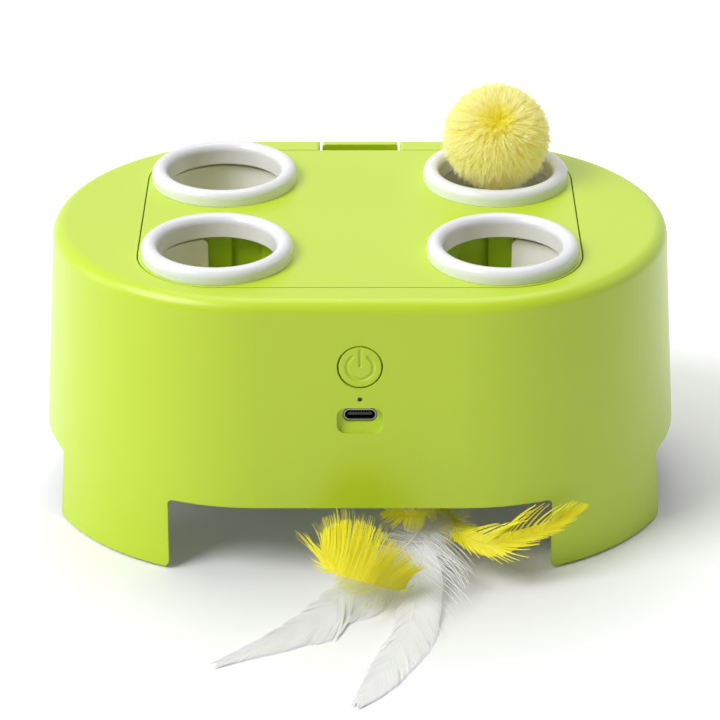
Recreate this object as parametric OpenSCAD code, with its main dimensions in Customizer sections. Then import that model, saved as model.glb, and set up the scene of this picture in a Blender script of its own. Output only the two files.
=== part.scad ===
// Pop-up cat toy: a drafted oval housing on four legs, a lift-out lid with four ringed holes,
// four fur balls raised on guide rods by motor levers, and a feather bunch turned by a gear train.
// X runs along the housing, -Y is the front with the button, Z is up, and the floor is z = 0.

/* [Housing] */
// Length over the two round ends at the foot of the legs
body_length = 184; // [150:1:220]
// Depth front to back at the foot of the legs
body_depth = 127.4; // [100:0.2:150]
// Height of the flat top above the floor
body_height = 81.6; // [60:0.2:100]
// Draft of the moulded wall in degrees
draft = 3.7; // [0:0.1:6]
// Thickness of the moulded wall
wall = 2.4; // [1.6:0.1:4]
// Thickness of the top and of the lid
top_wall = 2.6; // [1.6:0.1:4]
// Radius of the rounded top edge
top_round = 4; // [1:0.5:8]
// Height of the rubber pads under the legs
pad_height = 0.6; // [0.4:0.1:2]

/* [Legs] */
// Height of the arches between the legs
arch_height = 21.2; // [10:0.2:35]
// Width of the front and rear arches
arch_width = 106; // [60:1:120]
// Width of the arches at the two ends
end_arch_width = 56; // [30:1:70]
// Radius on the lower corners of the legs
leg_round = 2.4; // [0.5:0.1:5]
// Radius in the upper corners of the arches
arch_round = 1.4; // [0.4:0.2:8]

/* [Lid and rings] */
// Distance between hole centres along X
hole_span_x = 78.8; // [60:0.2:100]
// Distance between hole centres along Y
hole_span_y = 53.6; // [44:0.2:70]
// Corner radius of the lid, about the hole centres
lid_corner = 22.2; // [20:0.1:26]
// Gap all round the lid
lid_gap = 0.35; // [0.2:0.05:0.8]
// Outer radius of a ring
ring_outer = 21; // [19:0.1:22]
// Inner radius of a ring
ring_inner = 16.4; // [15:0.1:18]
// Height of a ring above the lid
ring_height = 4.2; // [2:0.1:6]
// Width of the spring tab at the back of the lid
tab_width = 22.5; // [12:0.5:30]

/* [Pop-up balls] */
// Diameter of a ball's core
ball_d = 28.8; // [24:0.2:32]
// Height of a raised ball's centre above the top
ball_proud = 13.1; // [8:0.1:16]
// Height of a ball's centre above its table
ball_stem = 21.3; // [18:0.1:24]
// Diameter of the guide rods
rod_d = 4; // [3:0.1:5]
// Running clearance of the sliding bushes, on the radius
rod_fit = 0.08; // [0.02:0.01:0.1]
// Length of a lever from its spindle to its pin
lever_length = 34; // [28:0.5:36]
// Diameter of a lever's spindle
spindle_d = 4; // [3:0.1:5]

/* [Feather drive] */
// Gear module
gear_module = 0.8; // [0.5:0.1:1]
// Teeth on the feather shaft's gear
out_teeth = 40; // [30:2:50]
// Teeth on the idler's large gear
idler_teeth = 30; // [20:2:40]
// Teeth on each pinion
pinion_teeth = 10; // [9:1:14]
// Diameter of the feather shaft
shaft_d = 6; // [4:0.5:8]
// Direction of the feather arm in degrees
arm_turn = -64.4; // [-180:0.2:180]

/* [Front panel] */
// Height of the button's centre
button_z = 62.9; // [50:0.1:70]
// Diameter of the button
button_d = 11.6; // [8:0.1:16]
// Stroke of the button
button_stroke = 0.5; // [0.2:0.1:1]
// Width of the pocket around the charging port
port_width = 12.4; // [10:0.1:16]
// Height of the pocket around the charging port
port_height = 7.1; // [5:0.1:10]

/* [Hidden] */
$fn = 96;
green = "#a6cf1e";
white = "#f2f2f0";
yellow = "#f2e23a";
steel = "#b9bcc0";
brass = "#c9a84a";
black = "#222326";
board_green = "#1d5b34";
cell_blue = "#3c6db0";

end_x = (body_length - body_depth) / 2;
hole_x = hole_span_x / 2;
hole_y = hole_span_y / 2;
lid_z = body_height - top_wall;
base_t = 2.4;
base_z = arch_height + 0.6;
floor_z = base_z + base_t;
base_r = body_depth / 2 - wall - 1.9;
notch_width = tab_width + 1.3;
tab_drop = 12.4;
tab_lip = 3.2;
tab_round = 2.2;
sleeve_t = 3.1;
screen_drop = 14;
post_x = 70;
post_y = 22;
post_d = 7.5;

// Heights of the gear train and of the deck over it
gear_low = floor_z + 2.3;
gear_mid = floor_z + 7;
gear_top = floor_z + 10.2;
deck_low = floor_z + 13.4;
deck_top = deck_low + 2.4;
bed_gap = 2.2;

// Carriages: heights are given for the lowered ball, and the raised ball adds the travel
rod_p = 18.2;
rod_low = base_z + 0.8;
rod_top = body_height - 5.2;
boss_low = body_height - 7.7;
shoe_low = floor_z + 0.8;
shoe_top = floor_z + 11.2;
ball_down_z = shoe_top + ball_stem;
ball_travel = body_height + ball_proud - ball_down_z;
pin_low = floor_z + 5;
pin_d = 3;
slot_h = 4.6;
motor_face = 21;
motor_back = 1.5;
motor_w = 10;
motor_h = 12;
spindle_x = 5.5;
spindle_z = max(pin_low + ball_travel / 2, deck_top + bed_gap + motor_h / 2);
swing_down = asin((spindle_z - pin_low) / lever_length);
swing_up = asin((pin_low + ball_travel - spindle_z) / lever_length);
lever_t = 4;
collar_r = 18.4;
collar_t = 1.6;
collar_round = 1.6;
collar_low = body_height - 27.6;
collar_top = body_height - 3.6;
collar_from = -79.4;
collar_sweep = 227.2;

// Feather drive: the idler and the motor lie on the -X side of the shaft
out_r = gear_module * out_teeth / 2;
idler_r = gear_module * idler_teeth / 2;
pinion_r = gear_module * pinion_teeth / 2;
idler_x = -(out_r + pinion_r);
motor_x = idler_x - idler_r - pinion_r;
hub_d = 26;
hub_low = 12.5;
hub_top = 20.8;
arm_reach = 40;
ferrule_z = 14;
ferrule_d = 5.6;
ferrule_end = 50;

// Front panel: depths are along the wall's inward normal
board_face = 8;
board_t = 1.6;
board_gap = 2.5;
board_up = min(8.6, lid_z - button_z - board_gap);
board_down = 25;
board_rows = [board_up - 3.1, 3 - board_down];
led_drop = 9.42;
port_drop = 15.68;
socket_drop = 14.73;

// Feather shafts, from the ferrule to the tip
white_long = [[19.66, -41.03, 12.7], [22.25, -46.44, 12.7], [20.6, -53.4, 11.6], [17.8, -59.5, 9.6],
    [16.5, -68.1, 6], [15.5, -76.5, 3.8], [13.5, -91.2, 2.4], [8.9, -106.2, 1.8], [4.1, -119, 1.5],
    [-0.5, -129.2, 1.2]];
white_side = [[18.58, -41.55, 13.5], [21.17, -46.96, 13.5], [17.6, -55, 12], [12.3, -62.5, 9],
    [5.4, -68.9, 5.8], [-1.3, -74.4, 4.2], [-6.9, -81.4, 3.2], [-12, -87.2, 2.5], [-21.5, -96.8, 1.8],
    [-37.5, -110.1, 1.2]];
yellow_left = [[18.85, -41.42, 15], [21.44, -46.83, 15], [19.6, -57, 14.4], [17.7, -70, 14.6],
    [12.1, -82, 13.6], [4, -85.4, 12.8], [-5.5, -83.1, 13], [-12.3, -76.7, 14], [-15.6, -73.5, 15]];
yellow_right = [[20.74, -40.51, 13.6], [23.33, -45.92, 13.6], [25.4, -53, 13.2], [28, -60.6, 12.4],
    [34, -65.4, 12], [39.7, -66, 13], [50.8, -64.5, 16], [57.1, -61.5, 18], [62.3, -59.5, 20]];
yellow_small = [[20.2, -40.77, 15.2], [22.79, -46.18, 15.2], [21.6, -53, 17], [17.8, -57.6, 17.4],
    [13.7, -59, 16], [9.6, -58.6, 16], [5.4, -57.8, 16.4], [3.2, -57, 17]];

// Node names, one solid or one group of like solids each

// Half depth of the outer wall at a height
function wall_r(z) = body_depth / 2 - tan(draft) * (z - pad_height);

// Point on a smooth curve through a list of points, t from 0 to 1
function along(pts, t) =
    let (n = len(pts) - 1, u = min(t * n, n - 0.0001), i = floor(u), f = u - i,
        a = pts[max(i - 1, 0)], b = pts[i], c = pts[i + 1], d = pts[min(i + 2, n)])
    0.5 * (2 * b + (c - a) * f + (2 * a - 5 * b + 4 * c - d) * f * f + (3 * b - 3 * c + d - a) * f * f * f);

function unit(v) = v / norm(v);

// Tooth flank angle of an involute at a radius
function roll(rb, r) = r <= rb ? 0 : let (a = acos(rb / r)) tan(a) * 180 / PI - a;

// Half of the wall's section: drafted side, rounded top edge, flat top
module wall_profile(inset, z0, z1, rnd) {
    side = inset / cos(draft);
    zc = z1 - rnd;
    rc = wall_r(zc) - side - rnd / cos(draft);
    arc = [for (i = [0:10]) let (a = draft + (90 - draft) * i / 10) [rc + rnd * cos(a), zc + rnd * sin(a)]];
    polygon(concat([[0, z0], [wall_r(z0) - side, z0]], arc, [[0, z1]]));
}

// Oval solid: two half turns joined by a straight run of the same section
module oval(inset, z0, z1, rnd) {
    for (s = [-1, 1])
        translate([s * end_x, 0, 0])
            rotate([0, 0, -90 * s])
                rotate_extrude(angle = 180)
                    wall_profile(inset, z0, z1, rnd);
    rotate([90, 0, 90])
        linear_extrude(2 * end_x, center = true) {
            wall_profile(inset, z0, z1, rnd);
            mirror([1, 0])
                wall_profile(inset, z0, z1, rnd);
        }
}

// Rounded rectangle standing on the X axis
module arch_2d(w, h, r) {
    translate([-w / 2, -5])
        square([w, h - r + 5]);
    translate([-w / 2 + r, 0])
        square([w - 2 * r, h]);
    for (s = [-1, 1])
        translate([s * (w / 2 - r), h - r])
            circle(r);
    for (s = [-1, 1])
        difference() {
            translate([s * (w / 2 + leg_round / 2 - 0.5), pad_height + leg_round / 2 - 1])
                square([leg_round + 1, leg_round + 2], center = true);
            translate([s * (w / 2 + leg_round), pad_height + leg_round - 0.3])
                circle(leg_round);
        }
}

// Rounded rectangle about the origin
module slot_2d(w, h, r) {
    square([w, h - 2 * r], center = true);
    square([w - 2 * r, h], center = true);
    for (sx = [-1, 1], sy = [-1, 1])
        translate([sx * (w / 2 - r), sy * (h / 2 - r)])
            circle(r);
}

// Lid outline, with corners about the hole centres, grown by d
module lid_2d(d) {
    r = lid_corner + d;
    square([2 * (hole_x + r), 2 * hole_y], center = true);
    square([2 * hole_x, 2 * (hole_y + r)], center = true);
    for (sx = [-1, 1], sy = [-1, 1])
        translate([sx * hole_x, sy * hole_y])
            circle(r);
}

// Frame on the front wall: X right, Y up the wall, Z out of the wall
module on_front() {
    translate([0, -wall_r(button_z), button_z])
        rotate([90 - draft, 0, 0])
            children();
}

// Puts a piece drawn for the rear right corner at another corner
module corner(sx, sy) {
    if (sx > 0 && sy > 0) children();
    if (sx < 0 && sy > 0) mirror([1, 0, 0]) children();
    if (sx > 0 && sy < 0) mirror([0, 1, 0]) children();
    if (sx < 0 && sy < 0) rotate([0, 0, 180]) children();
}

// Part of a ring about Z, from one angle over a sweep
module arc_ring(r, t, from, sweep, h) {
    rotate([0, 0, from])
        rotate_extrude(angle = sweep)
            translate([r, 0])
                square([t, h]);
}

// Involute gear with short teeth and a little backlash
module gear_2d(teeth, bore) {
    r = gear_module * teeth / 2;
    rb = r * cos(25);
    tip = r + 0.8 * gear_module;
    root = r - 1.1 * gear_module;
    half = 90 / teeth - 0.06 / r * 180 / PI;
    low = max(rb, root);
    flank = [for (i = [0:4]) let (q = low + (tip - low) * i / 4) [q, half + roll(rb, r) - roll(rb, q)]];
    pts = [for (k = [0:teeth - 1]) let (a = k * 360 / teeth) each concat(
        [[root, a - half - roll(rb, r) - 0.6]],
        [for (i = [0:4]) [flank[i][0], a - flank[i][1]]],
        [for (i = [4:-1:0]) [flank[i][0], a + flank[i][1]]],
        [[root, a + half + roll(rb, r) + 0.6]])];
    difference() {
        polygon([for (p = pts) [p[0] * cos(p[1]), p[0] * sin(p[1])]]);
        circle(d = bore);
    }
}

// Screw with its head underneath, pointing up
module screw_up(head_d, head_t, d, l) {
    cylinder(d = head_d, h = head_t);
    cylinder(d = d, h = head_t + l);
}

// Housing: drafted shell with arches, lid ledge, screw posts and front openings
module housing() {
    color(green)
        difference() {
            union() {
                difference() {
                    oval(0, pad_height, body_height, top_round);
                    oval(wall, pad_height - 1, lid_z, 1.4);
                    rotate([90, 0, 0])
                        linear_extrude(2 * body_depth, center = true)
                            arch_2d(arch_width, arch_height, arch_round);
                    rotate([90, 0, 90])
                        linear_extrude(2 * body_length, center = true)
                            arch_2d(end_arch_width, arch_height, arch_round);
                }
                translate([0, 0, lid_z - 1.6])
                    linear_extrude(1.6)
                        difference() {
                            lid_2d(3);
                            lid_2d(-1.8);
                        }
                for (sx = [-1, 1], sy = [-1, 1])
                    translate([sx * post_x, sy * post_y, floor_z])
                        cylinder(d = post_d, h = lid_z - floor_z + 0.4);
                intersection() {
                    oval(wall / 2, pad_height, body_height - 1.2, top_round - 1.2);
                    for (sx = [-1, 1], x = [30.3, 38.8])
                        translate([sx * x - 0.8, 50, 47])
                            cube([1.6, 20, lid_z - 46.2]);
                }
                on_front() {
                    translate([0, -port_drop, -3.8])
                        linear_extrude(1.9)
                            slot_2d(port_width + 4, port_height + 4, 2);
                    for (sx = [-1, 1], y = board_rows)
                        translate([sx * 14, y, -board_face])
                            cylinder(d = 5, h = board_face - 1.6);
                }
            }
            translate([0, 0, lid_z])
                linear_extrude(10)
                    lid_2d(0);
            translate([0, 72, body_height - tab_drop - 0.8])
                rotate([90, 0, 0])
                    linear_extrude(72 - hole_y - lid_corner + 2.6)
                        translate([0, 20])
                            slot_2d(notch_width, 40, 2.5);
            translate([0, 72, body_height])
                rotate([90, 0, 0])
                    linear_extrude(72 - hole_y - lid_corner + 2.6)
                        for (s = [-1, 1])
                            translate([s * notch_width / 2, 0])
                                mirror([s < 0 ? 1 : 0, 0])
                                    tab_corner_2d();
            for (sx = [-1, 1], sy = [-1, 1])
                translate([sx * post_x, sy * post_y, floor_z - 1])
                    cylinder(d = 2.6, h = 14);
            on_front() {
                translate([0, 0, -5])
                    cylinder(d = button_d + 0.8, h = 10);
                translate([0, -led_drop, -5])
                    cylinder(d = 1.3, h = 10);
                translate([0, -port_drop, 0])
                    rotate([-14, 0, 0])
                        translate([0, 0, -1.75])
                            linear_extrude(8)
                                slot_2d(port_width, port_height, 2.4);
                translate([0, -socket_drop, -6])
                    linear_extrude(8)
                        slot_2d(9.3, 3.6, 1.75);
                for (sx = [-1, 1], y = board_rows)
                    translate([sx * 14, y, -board_face - 1])
                        cylinder(d = 1.8, h = 6);
            }
        }
}

// Base plate: closes the housing from below and carries the rods, the guides and the bush
module base_plate() {
    color(green)
        difference() {
            translate([0, 0, base_z])
                linear_extrude(base_t) {
                    square([2 * end_x, 2 * base_r], center = true);
                    for (s = [-1, 1])
                        translate([s * end_x, 0])
                            circle(base_r);
                }
            translate([0, 0, base_z - 1])
                cylinder(d = 10, h = 10);
            for (p = base_screw_places())
                translate([p[0], p[1], base_z - 1]) {
                    cylinder(d = 2.7, h = 10);
                    cylinder(d = 5.8, h = 2.4);
                }
            for (sx = [-1, 1], sy = [-1, 1])
                corner(sx, sy) {
                    translate([hole_x + rod_p, hole_y, rod_low])
                        cylinder(d = rod_d, h = 10);
                    for (a = [-35, 35])
                        translate([hole_x + 23 * cos(a), hole_y + 23 * sin(a), base_z + 0.5])
                            cylinder(d = 2.3, h = 10);
                }
            translate([idler_x, 0, base_z + 0.8])
                cylinder(d = 2.5, h = 10);
        }
}

// Screws under the base: four into the housing's posts, four into the chassis
function base_screw_places() = concat(
    [for (sx = [-1, 1], sy = [-1, 1]) [sx * post_x, sy * post_y]],
    chassis_places());

function chassis_places() = [for (sx = [-1, 1], sy = [-1, 1]) [sx * 14, sy * 19.5]];

module base_screws() {
    color(steel)
        for (sx = [-1, 1], sy = [-1, 1])
            translate([sx * post_x, sy * post_y, base_z])
                screw_up(5.4, 1.4, 2.5, 10);
}

module chassis_screws() {
    color(steel)
        for (p = chassis_places())
            translate([p[0], p[1], base_z])
                screw_up(5.4, 1.4, 2.5, 9);
}

// Rubber strips under the four legs
module foot_pads() {
    color(black)
        for (sx = [-1, 1], sy = [-1, 1])
            corner(sx, sy)
                translate([end_x, 0, 0])
                    arc_ring(body_depth / 2 - 2.2, 1.4, 31, 32, pad_height);
}

// Cutter for an upper corner of the tab or its notch, with the piece on the +X side
module tab_corner_2d() {
    difference() {
        translate([-1, -0.9])
            square([1.9, 1.9]);
        translate([tab_round - 0.3, 0.3 - tab_round])
            circle(tab_round);
    }
}

// Lid: flush panel with four holes and a folded spring tab at the back
module lid() {
    edge = hole_y + lid_corner - lid_gap;
    color(green)
        difference() {
            union() {
                translate([0, 0, lid_z])
                    linear_extrude(top_wall)
                        lid_2d(-lid_gap);
                rotate([90, 0, 90])
                    linear_extrude(tab_width, center = true) {
                        translate([edge - 1.6, body_height - tab_drop])
                            square([1.6, tab_drop - 1]);
                        translate([edge - 1.6, body_height - tab_drop])
                            square([8.6, 1.6]);
                        translate([edge + 4.6, body_height - tab_drop])
                            square([2.4, tab_drop - 1]);
                        translate([edge + 4.6, body_height - 3])
                            square([tab_lip, 2]);
                        translate([edge + 4.6, body_height - 2])
                            square([tab_lip - 1, 2]);
                        translate([edge + 3.6 + tab_lip, body_height - 1])
                            circle(1);
                    }
                translate([-8, edge + 6.9, body_height - 6])
                    cube([16, 0.8, 1.2]);
            }
            translate([0, edge + 12, body_height])
                rotate([90, 0, 0])
                    linear_extrude(9)
                        for (s = [-1, 1])
                            translate([s * tab_width / 2, 0])
                                mirror([s > 0 ? 1 : 0, 0])
                                    tab_corner_2d();
            for (sx = [-1, 1], sy = [-1, 1])
                translate([sx * hole_x, sy * hole_y, lid_z - 1])
                    cylinder(r = ring_inner + sleeve_t + 0.3, h = 10);
        }
}

// Ring: round bead on the lid with a short sleeve in the hole
module ring(sx, sy) {
    bead = (ring_outer - ring_inner) / 2;
    color(white)
        translate([sx * hole_x, sy * hole_y, body_height])
            rotate_extrude() {
                intersection() {
                    translate([ring_inner + bead, ring_height - bead])
                        circle(bead);
                    translate([ring_inner - 1, ring_height - bead])
                        square([2 * bead + 2, bead + 1]);
                }
                translate([ring_inner, 0])
                    square([2 * bead, ring_height - bead]);
                translate([ring_inner, -2.1])
                    square([sleeve_t, 3]);
            }
}

// Screens: faceted walls under the lid that close the open side of each collar
module hole_screens() {
    r0 = collar_r + collar_t + 0.3;
    r1 = r0 + 1.6;
    r2 = r1 + 1.4;
    inner = [[284, r0 + 0.3], [261, r0], [260.6, r1], [238.4, r1], [235.2, r0], [210, r0], [182, r0], [151, r0]];
    outer = [[151, r1], [182, r1], [210, r1], [233.6, r1], [233.6, r2], [262.4, r2], [262.4, r1], [284, r1]];
    color(green)
        for (sx = [-1, 1], sy = [-1, 1])
            corner(sx, sy)
                translate([hole_x, hole_y, lid_z - screen_drop])
                    linear_extrude(screen_drop)
                        polygon([for (p = concat(inner, outer)) [p[1] * cos(p[0]), p[1] * sin(p[0])]]);
}

// Guide: open collar under a hole, on two struts, with a boss for the rod's upper end
module guide(sx, sy) {
    color(white)
        corner(sx, sy)
            translate([hole_x, hole_y, 0])
                difference() {
                    union() {
                        translate([0, 0, floor_z])
                            arc_ring(collar_r, collar_t, collar_from, collar_sweep, collar_top - floor_z);
                        for (a = [-48, 22])
                            translate([0, 0, floor_z])
                                arc_ring(collar_r + 0.8, 6.8, a, 26, 2.2);
                        translate([15.4, -5.4, boss_low])
                            cube([6.2, 10.8, body_height - 4.6 - boss_low]);
                    }
                    for (w = [[collar_from - 1, -49 - collar_from], [-21, 42], [51, collar_sweep]])
                        translate([0, 0, floor_z - 1])
                            arc_ring(collar_r - 1, collar_t + 2, w[0], w[1], collar_low - floor_z + 1);
                    translate([15, -5.4, collar_low - 4])
                        cube([8, 10.8, boss_low - collar_low + 4]);
                    translate([rod_p, 0, boss_low - 1])
                        cylinder(d = rod_d, h = rod_top - boss_low + 1);
                    for (a = [-35, 35])
                        translate([23 * cos(a), 23 * sin(a), floor_z - 1])
                            cylinder(d = 2.4, h = 10);
                    rotate([0, 0, collar_from])
                        collar_corner();
                    rotate([0, 0, collar_from + collar_sweep])
                        mirror([0, 1, 0])
                            collar_corner();
                }
}

// Cutter that rounds the collar's upper corner at its end
module collar_corner() {
    r = collar_round;
    translate([collar_r - 2, 0, collar_top - r])
        difference() {
            translate([0, -1, 0])
                cube([6, r + 1, r + 1]);
            translate([-1, r + 0.5, -0.5])
                rotate([0, 90, 0])
                    cylinder(r = r + 0.6, h = 8);
        }
}

module guide_screws() {
    color(steel)
        for (sx = [-1, 1], sy = [-1, 1], a = [-35, 35])
            corner(sx, sy)
                translate([hole_x + 23 * cos(a), hole_y + 23 * sin(a), floor_z + 2.2])
                    mirror([0, 0, 1])
                        translate([0, 0, -1.3])
                            screw_up(4.4, 1.3, 2.2, 4);
}

module guide_rods() {
    color(steel)
        for (sx = [-1, 1], sy = [-1, 1])
            corner(sx, sy)
                translate([hole_x + rod_p, hole_y, rod_low])
                    cylinder(d = rod_d, h = rod_top - rod_low);
}

// Carriage: table under the ball with a stem, a bush on the rod and a slotted yoke for the lever
module carriage(sx, sy, rise) {
    pin_p = spindle_x + lever_length * cos(max(swing_down, swing_up)) - hole_x;
    mid_p = spindle_x + lever_length - hole_x;
    color(white)
        corner(sx, sy)
            translate([hole_x, hole_y, rise])
                difference() {
                    union() {
                        translate([0, 0, shoe_top - 2.4])
                            cylinder(r = 12, h = 2.4);
                        translate([9, -4.2, shoe_top - 2.4])
                            cube([rod_p - 9, 8.4, 2.4]);
                        translate([rod_p, 0, shoe_low])
                            cylinder(d = 8.4, h = shoe_top - shoe_low);
                        translate([0, 0, shoe_top - 1])
                            cylinder(d = 4, h = ball_down_z - shoe_top + 1);
                        for (s = [-1, 1])
                            translate([pin_p - 4, s * 3.5 - 1.1, shoe_low + 0.2])
                                cube([mid_p - pin_p + 8, 2.2, shoe_top - shoe_low - 1]);
                    }
                    translate([rod_p, 0, 0])
                        cylinder(r = rod_d / 2 + rod_fit, h = 60);
                    translate([-13, -2.4, shoe_top - 4])
                        cube([7.4, 4.8, 8]);
                    translate([0, 6, pin_low])
                        rotate([90, 0, 0])
                            linear_extrude(12)
                                translate([(pin_p + mid_p) / 2, 0])
                                    slot_2d(mid_p - pin_p + slot_h + 0.8, slot_h, slot_h / 2 - 0.01);
                }
}

// Fur ball: a plain core with a hole for the stem
module ball(sx, sy, rise) {
    color(yellow)
        translate([sx * hole_x, sy * hole_y, ball_down_z + rise])
            difference() {
                sphere(d = ball_d);
                translate([0, 0, -ball_d])
                    cylinder(d = 4, h = ball_d);
            }
}

// Lever: tapered arm with a spindle into the motor and a cross pin in the yoke
module lever(sx, sy, angle) {
    r1 = 4.8;
    r2 = 2.9;
    color(white)
        corner(sx, sy)
            translate([spindle_x, hole_y, spindle_z])
                rotate([0, -angle, 0])
                    rotate([90, 0, 0]) {
                        linear_extrude(lever_t, center = true) {
                            circle(r1);
                            translate([lever_length, 0])
                                circle(r2);
                            polygon([[0, r1 - 0.7], [lever_length, r2 - 0.6],
                                [lever_length, 0.6 - r2], [0, 0.7 - r1]]);
                        }
                        cylinder(d = spindle_d, h = hole_y - motor_face + 6);
                        translate([lever_length, 0, 0])
                            cylinder(d = pin_d, h = 9.6, center = true);
                    }
}

// Four small gear motors: a flat-sided can behind a square gearbox
module lift_motors() {
    color(steel)
        for (sx = [-1, 1], sy = [-1, 1])
            corner(sx, sy)
                translate([spindle_x, 0, spindle_z])
                    difference() {
                        union() {
                            translate([-motor_w / 2, 13, -motor_h / 2])
                                cube([motor_w, motor_face - 13, motor_h]);
                            intersection() {
                                translate([-motor_w / 2, motor_back, -motor_h / 2])
                                    cube([motor_w, 12, motor_h]);
                                translate([0, 14, 0])
                                    rotate([90, 0, 0])
                                        cylinder(d = motor_h, h = 14);
                            }
                        }
                        translate([0, motor_face + 1, 0])
                            rotate([90, 0, 0])
                                cylinder(d = spindle_d + 2 * rod_fit, h = 8);
                    }
}

// Chassis: deck over the gears, on four posts, with a bed for the lift motors
module chassis() {
    bed = spindle_z - motor_h / 2;
    color(white)
        difference() {
            union() {
                translate([0, 0, deck_low])
                    linear_extrude(deck_top - deck_low) {
                        translate([-21, -23])
                            square([42, 46]);
                        translate([motor_x - 11, -11])
                            square([40, 22]);
                    }
                for (p = chassis_places())
                    translate([p[0], p[1], floor_z])
                        cylinder(d = 7, h = deck_low - floor_z + 0.5);
                for (sy = [-1, 1], y = [7, 17])
                    translate([-11, sy * y - 1, deck_top - 0.5])
                        cube([22, 2, bed - deck_top + 0.5]);
                for (s = [-1, 1])
                    translate([s * 11.7 - 0.9, -20, deck_top - 0.5])
                        cube([1.8, 40, 12]);
                translate([motor_x, 0, deck_top - 0.5])
                    cylinder(d = 18.4, h = 6.5);
            }
            translate([0, 0, deck_low - 1])
                cylinder(r = shaft_d / 2 + rod_fit, h = 10);
            translate([idler_x, 0, deck_low - 1])
                cylinder(d = 2.5, h = 2.4);
            translate([motor_x, 0, deck_low - 1])
                cylinder(d = 6, h = 10);
            translate([motor_x, 0, deck_top])
                cylinder(d = 15.4, h = 10);
            for (p = chassis_places())
                translate([p[0], p[1], floor_z - 1])
                    cylinder(d = 2.6, h = 11);
            for (sx = [-1, 1], sy = [-1, 1])
                translate([sx * 17.2, sy * 10, deck_low + 0.4])
                    cylinder(d = 1.8, h = 10);
        }
}

// Two straps that hold the lift motors in their bed
module motor_straps() {
    crown = spindle_z + motor_h / 2;
    color(steel)
        for (sy = [-1, 1])
            translate([0, sy * 10, 0])
                difference() {
                    union() {
                        translate([-14, -2.5, crown])
                            cube([28, 5, 1.2]);
                        for (s = [-1, 1]) {
                            translate([s * 13.3 - 0.7, -2.5, deck_top])
                                cube([1.4, 5, crown - deck_top + 1.2]);
                            translate([s * 16.5 - 3.5, -2.5, deck_top])
                                cube([7, 5, 1.2]);
                        }
                    }
                    for (s = [-1, 1])
                        translate([s * 17.2, 0, deck_top - 1])
                            cylinder(d = 1.9, h = 4);
                }
}

module strap_screws() {
    color(steel)
        for (sx = [-1, 1], sy = [-1, 1])
            translate([sx * 17.2, sy * 10, deck_top + 1.2])
                mirror([0, 0, 1])
                    translate([0, 0, -1])
                        screw_up(3.4, 1, 1.7, 2.8);
}

// Feather motor: a can on the deck with its nose through it
module feather_motor() {
    color(steel)
        difference() {
            translate([motor_x, 0, 0]) {
                translate([0, 0, deck_top])
                    cylinder(d = 15.4, h = 13.5);
                translate([0, 0, deck_low])
                    cylinder(d = 6, h = deck_top - deck_low + 1);
            }
            translate([motor_x, 0, deck_low - 1])
                cylinder(d = 2 + 2 * rod_fit, h = 6);
        }
}

module motor_shaft() {
    color(steel)
        translate([motor_x, 0, gear_mid])
            cylinder(d = 2, h = deck_low + 4 - gear_mid);
}

module motor_pinion() {
    color(brass)
        translate([motor_x, 0, gear_mid])
            linear_extrude(gear_top - gear_mid)
                rotate(180 / pinion_teeth)
                    gear_2d(pinion_teeth, 2);
}

module idler_axle() {
    color(steel)
        translate([idler_x, 0, base_z + 0.8])
            cylinder(d = 2.5, h = deck_low + 1.4 - base_z - 0.8);
}

// Idler: a large gear over a small one, turning on a fixed axle
module idler_gear() {
    color(white)
        translate([idler_x, 0, 0]) {
            translate([0, 0, gear_low])
                linear_extrude(gear_mid - gear_low + 0.6)
                    rotate(180 / pinion_teeth)
                        gear_2d(pinion_teeth, 2.5 + 2 * rod_fit);
            translate([0, 0, gear_mid])
                linear_extrude(gear_top - gear_mid)
                    gear_2d(idler_teeth, 2.5 + 2 * rod_fit);
        }
}

module shaft_bush() {
    color(brass)
        translate([0, 0, base_z])
            difference() {
                cylinder(d = 10, h = gear_low - 0.4 - base_z);
                translate([0, 0, -1])
                    cylinder(r = shaft_d / 2 + rod_fit, h = 10);
            }
}

module feather_shaft() {
    color(steel)
        translate([0, 0, hub_low + 2])
            cylinder(d = shaft_d, h = deck_top - hub_low - 2);
}

module shaft_gear() {
    color(white)
        translate([0, 0, gear_low])
            linear_extrude(4)
                gear_2d(out_teeth, shaft_d);
}

// Hub under the base with an arm that holds the feather ferrule
module feather_hub() {
    color(green)
        difference() {
            union() {
                translate([0, 0, hub_low])
                    cylinder(d = hub_d, h = hub_top - hub_low);
                rotate([0, 0, arm_turn])
                    translate([0, -4.5, ferrule_z - 4])
                        cube([arm_reach, 9, 8]);
            }
            translate([0, 0, hub_low + 2])
                cylinder(d = shaft_d, h = 20);
            rotate([0, 0, arm_turn])
                translate([arm_reach - 8, 0, ferrule_z])
                    rotate([0, 90, 0])
                        cylinder(d = ferrule_d, h = 20);
        }
}

module feather_ferrule() {
    color(white)
        rotate([0, 0, arm_turn])
            translate([arm_reach - 8, 0, ferrule_z])
                rotate([0, 90, 0])
                    difference() {
                        cylinder(d = ferrule_d, h = ferrule_end - arm_reach + 8);
                        translate([0, 0, 12])
                            cylinder(d = 4.8, h = 20);
                    }
}

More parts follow.
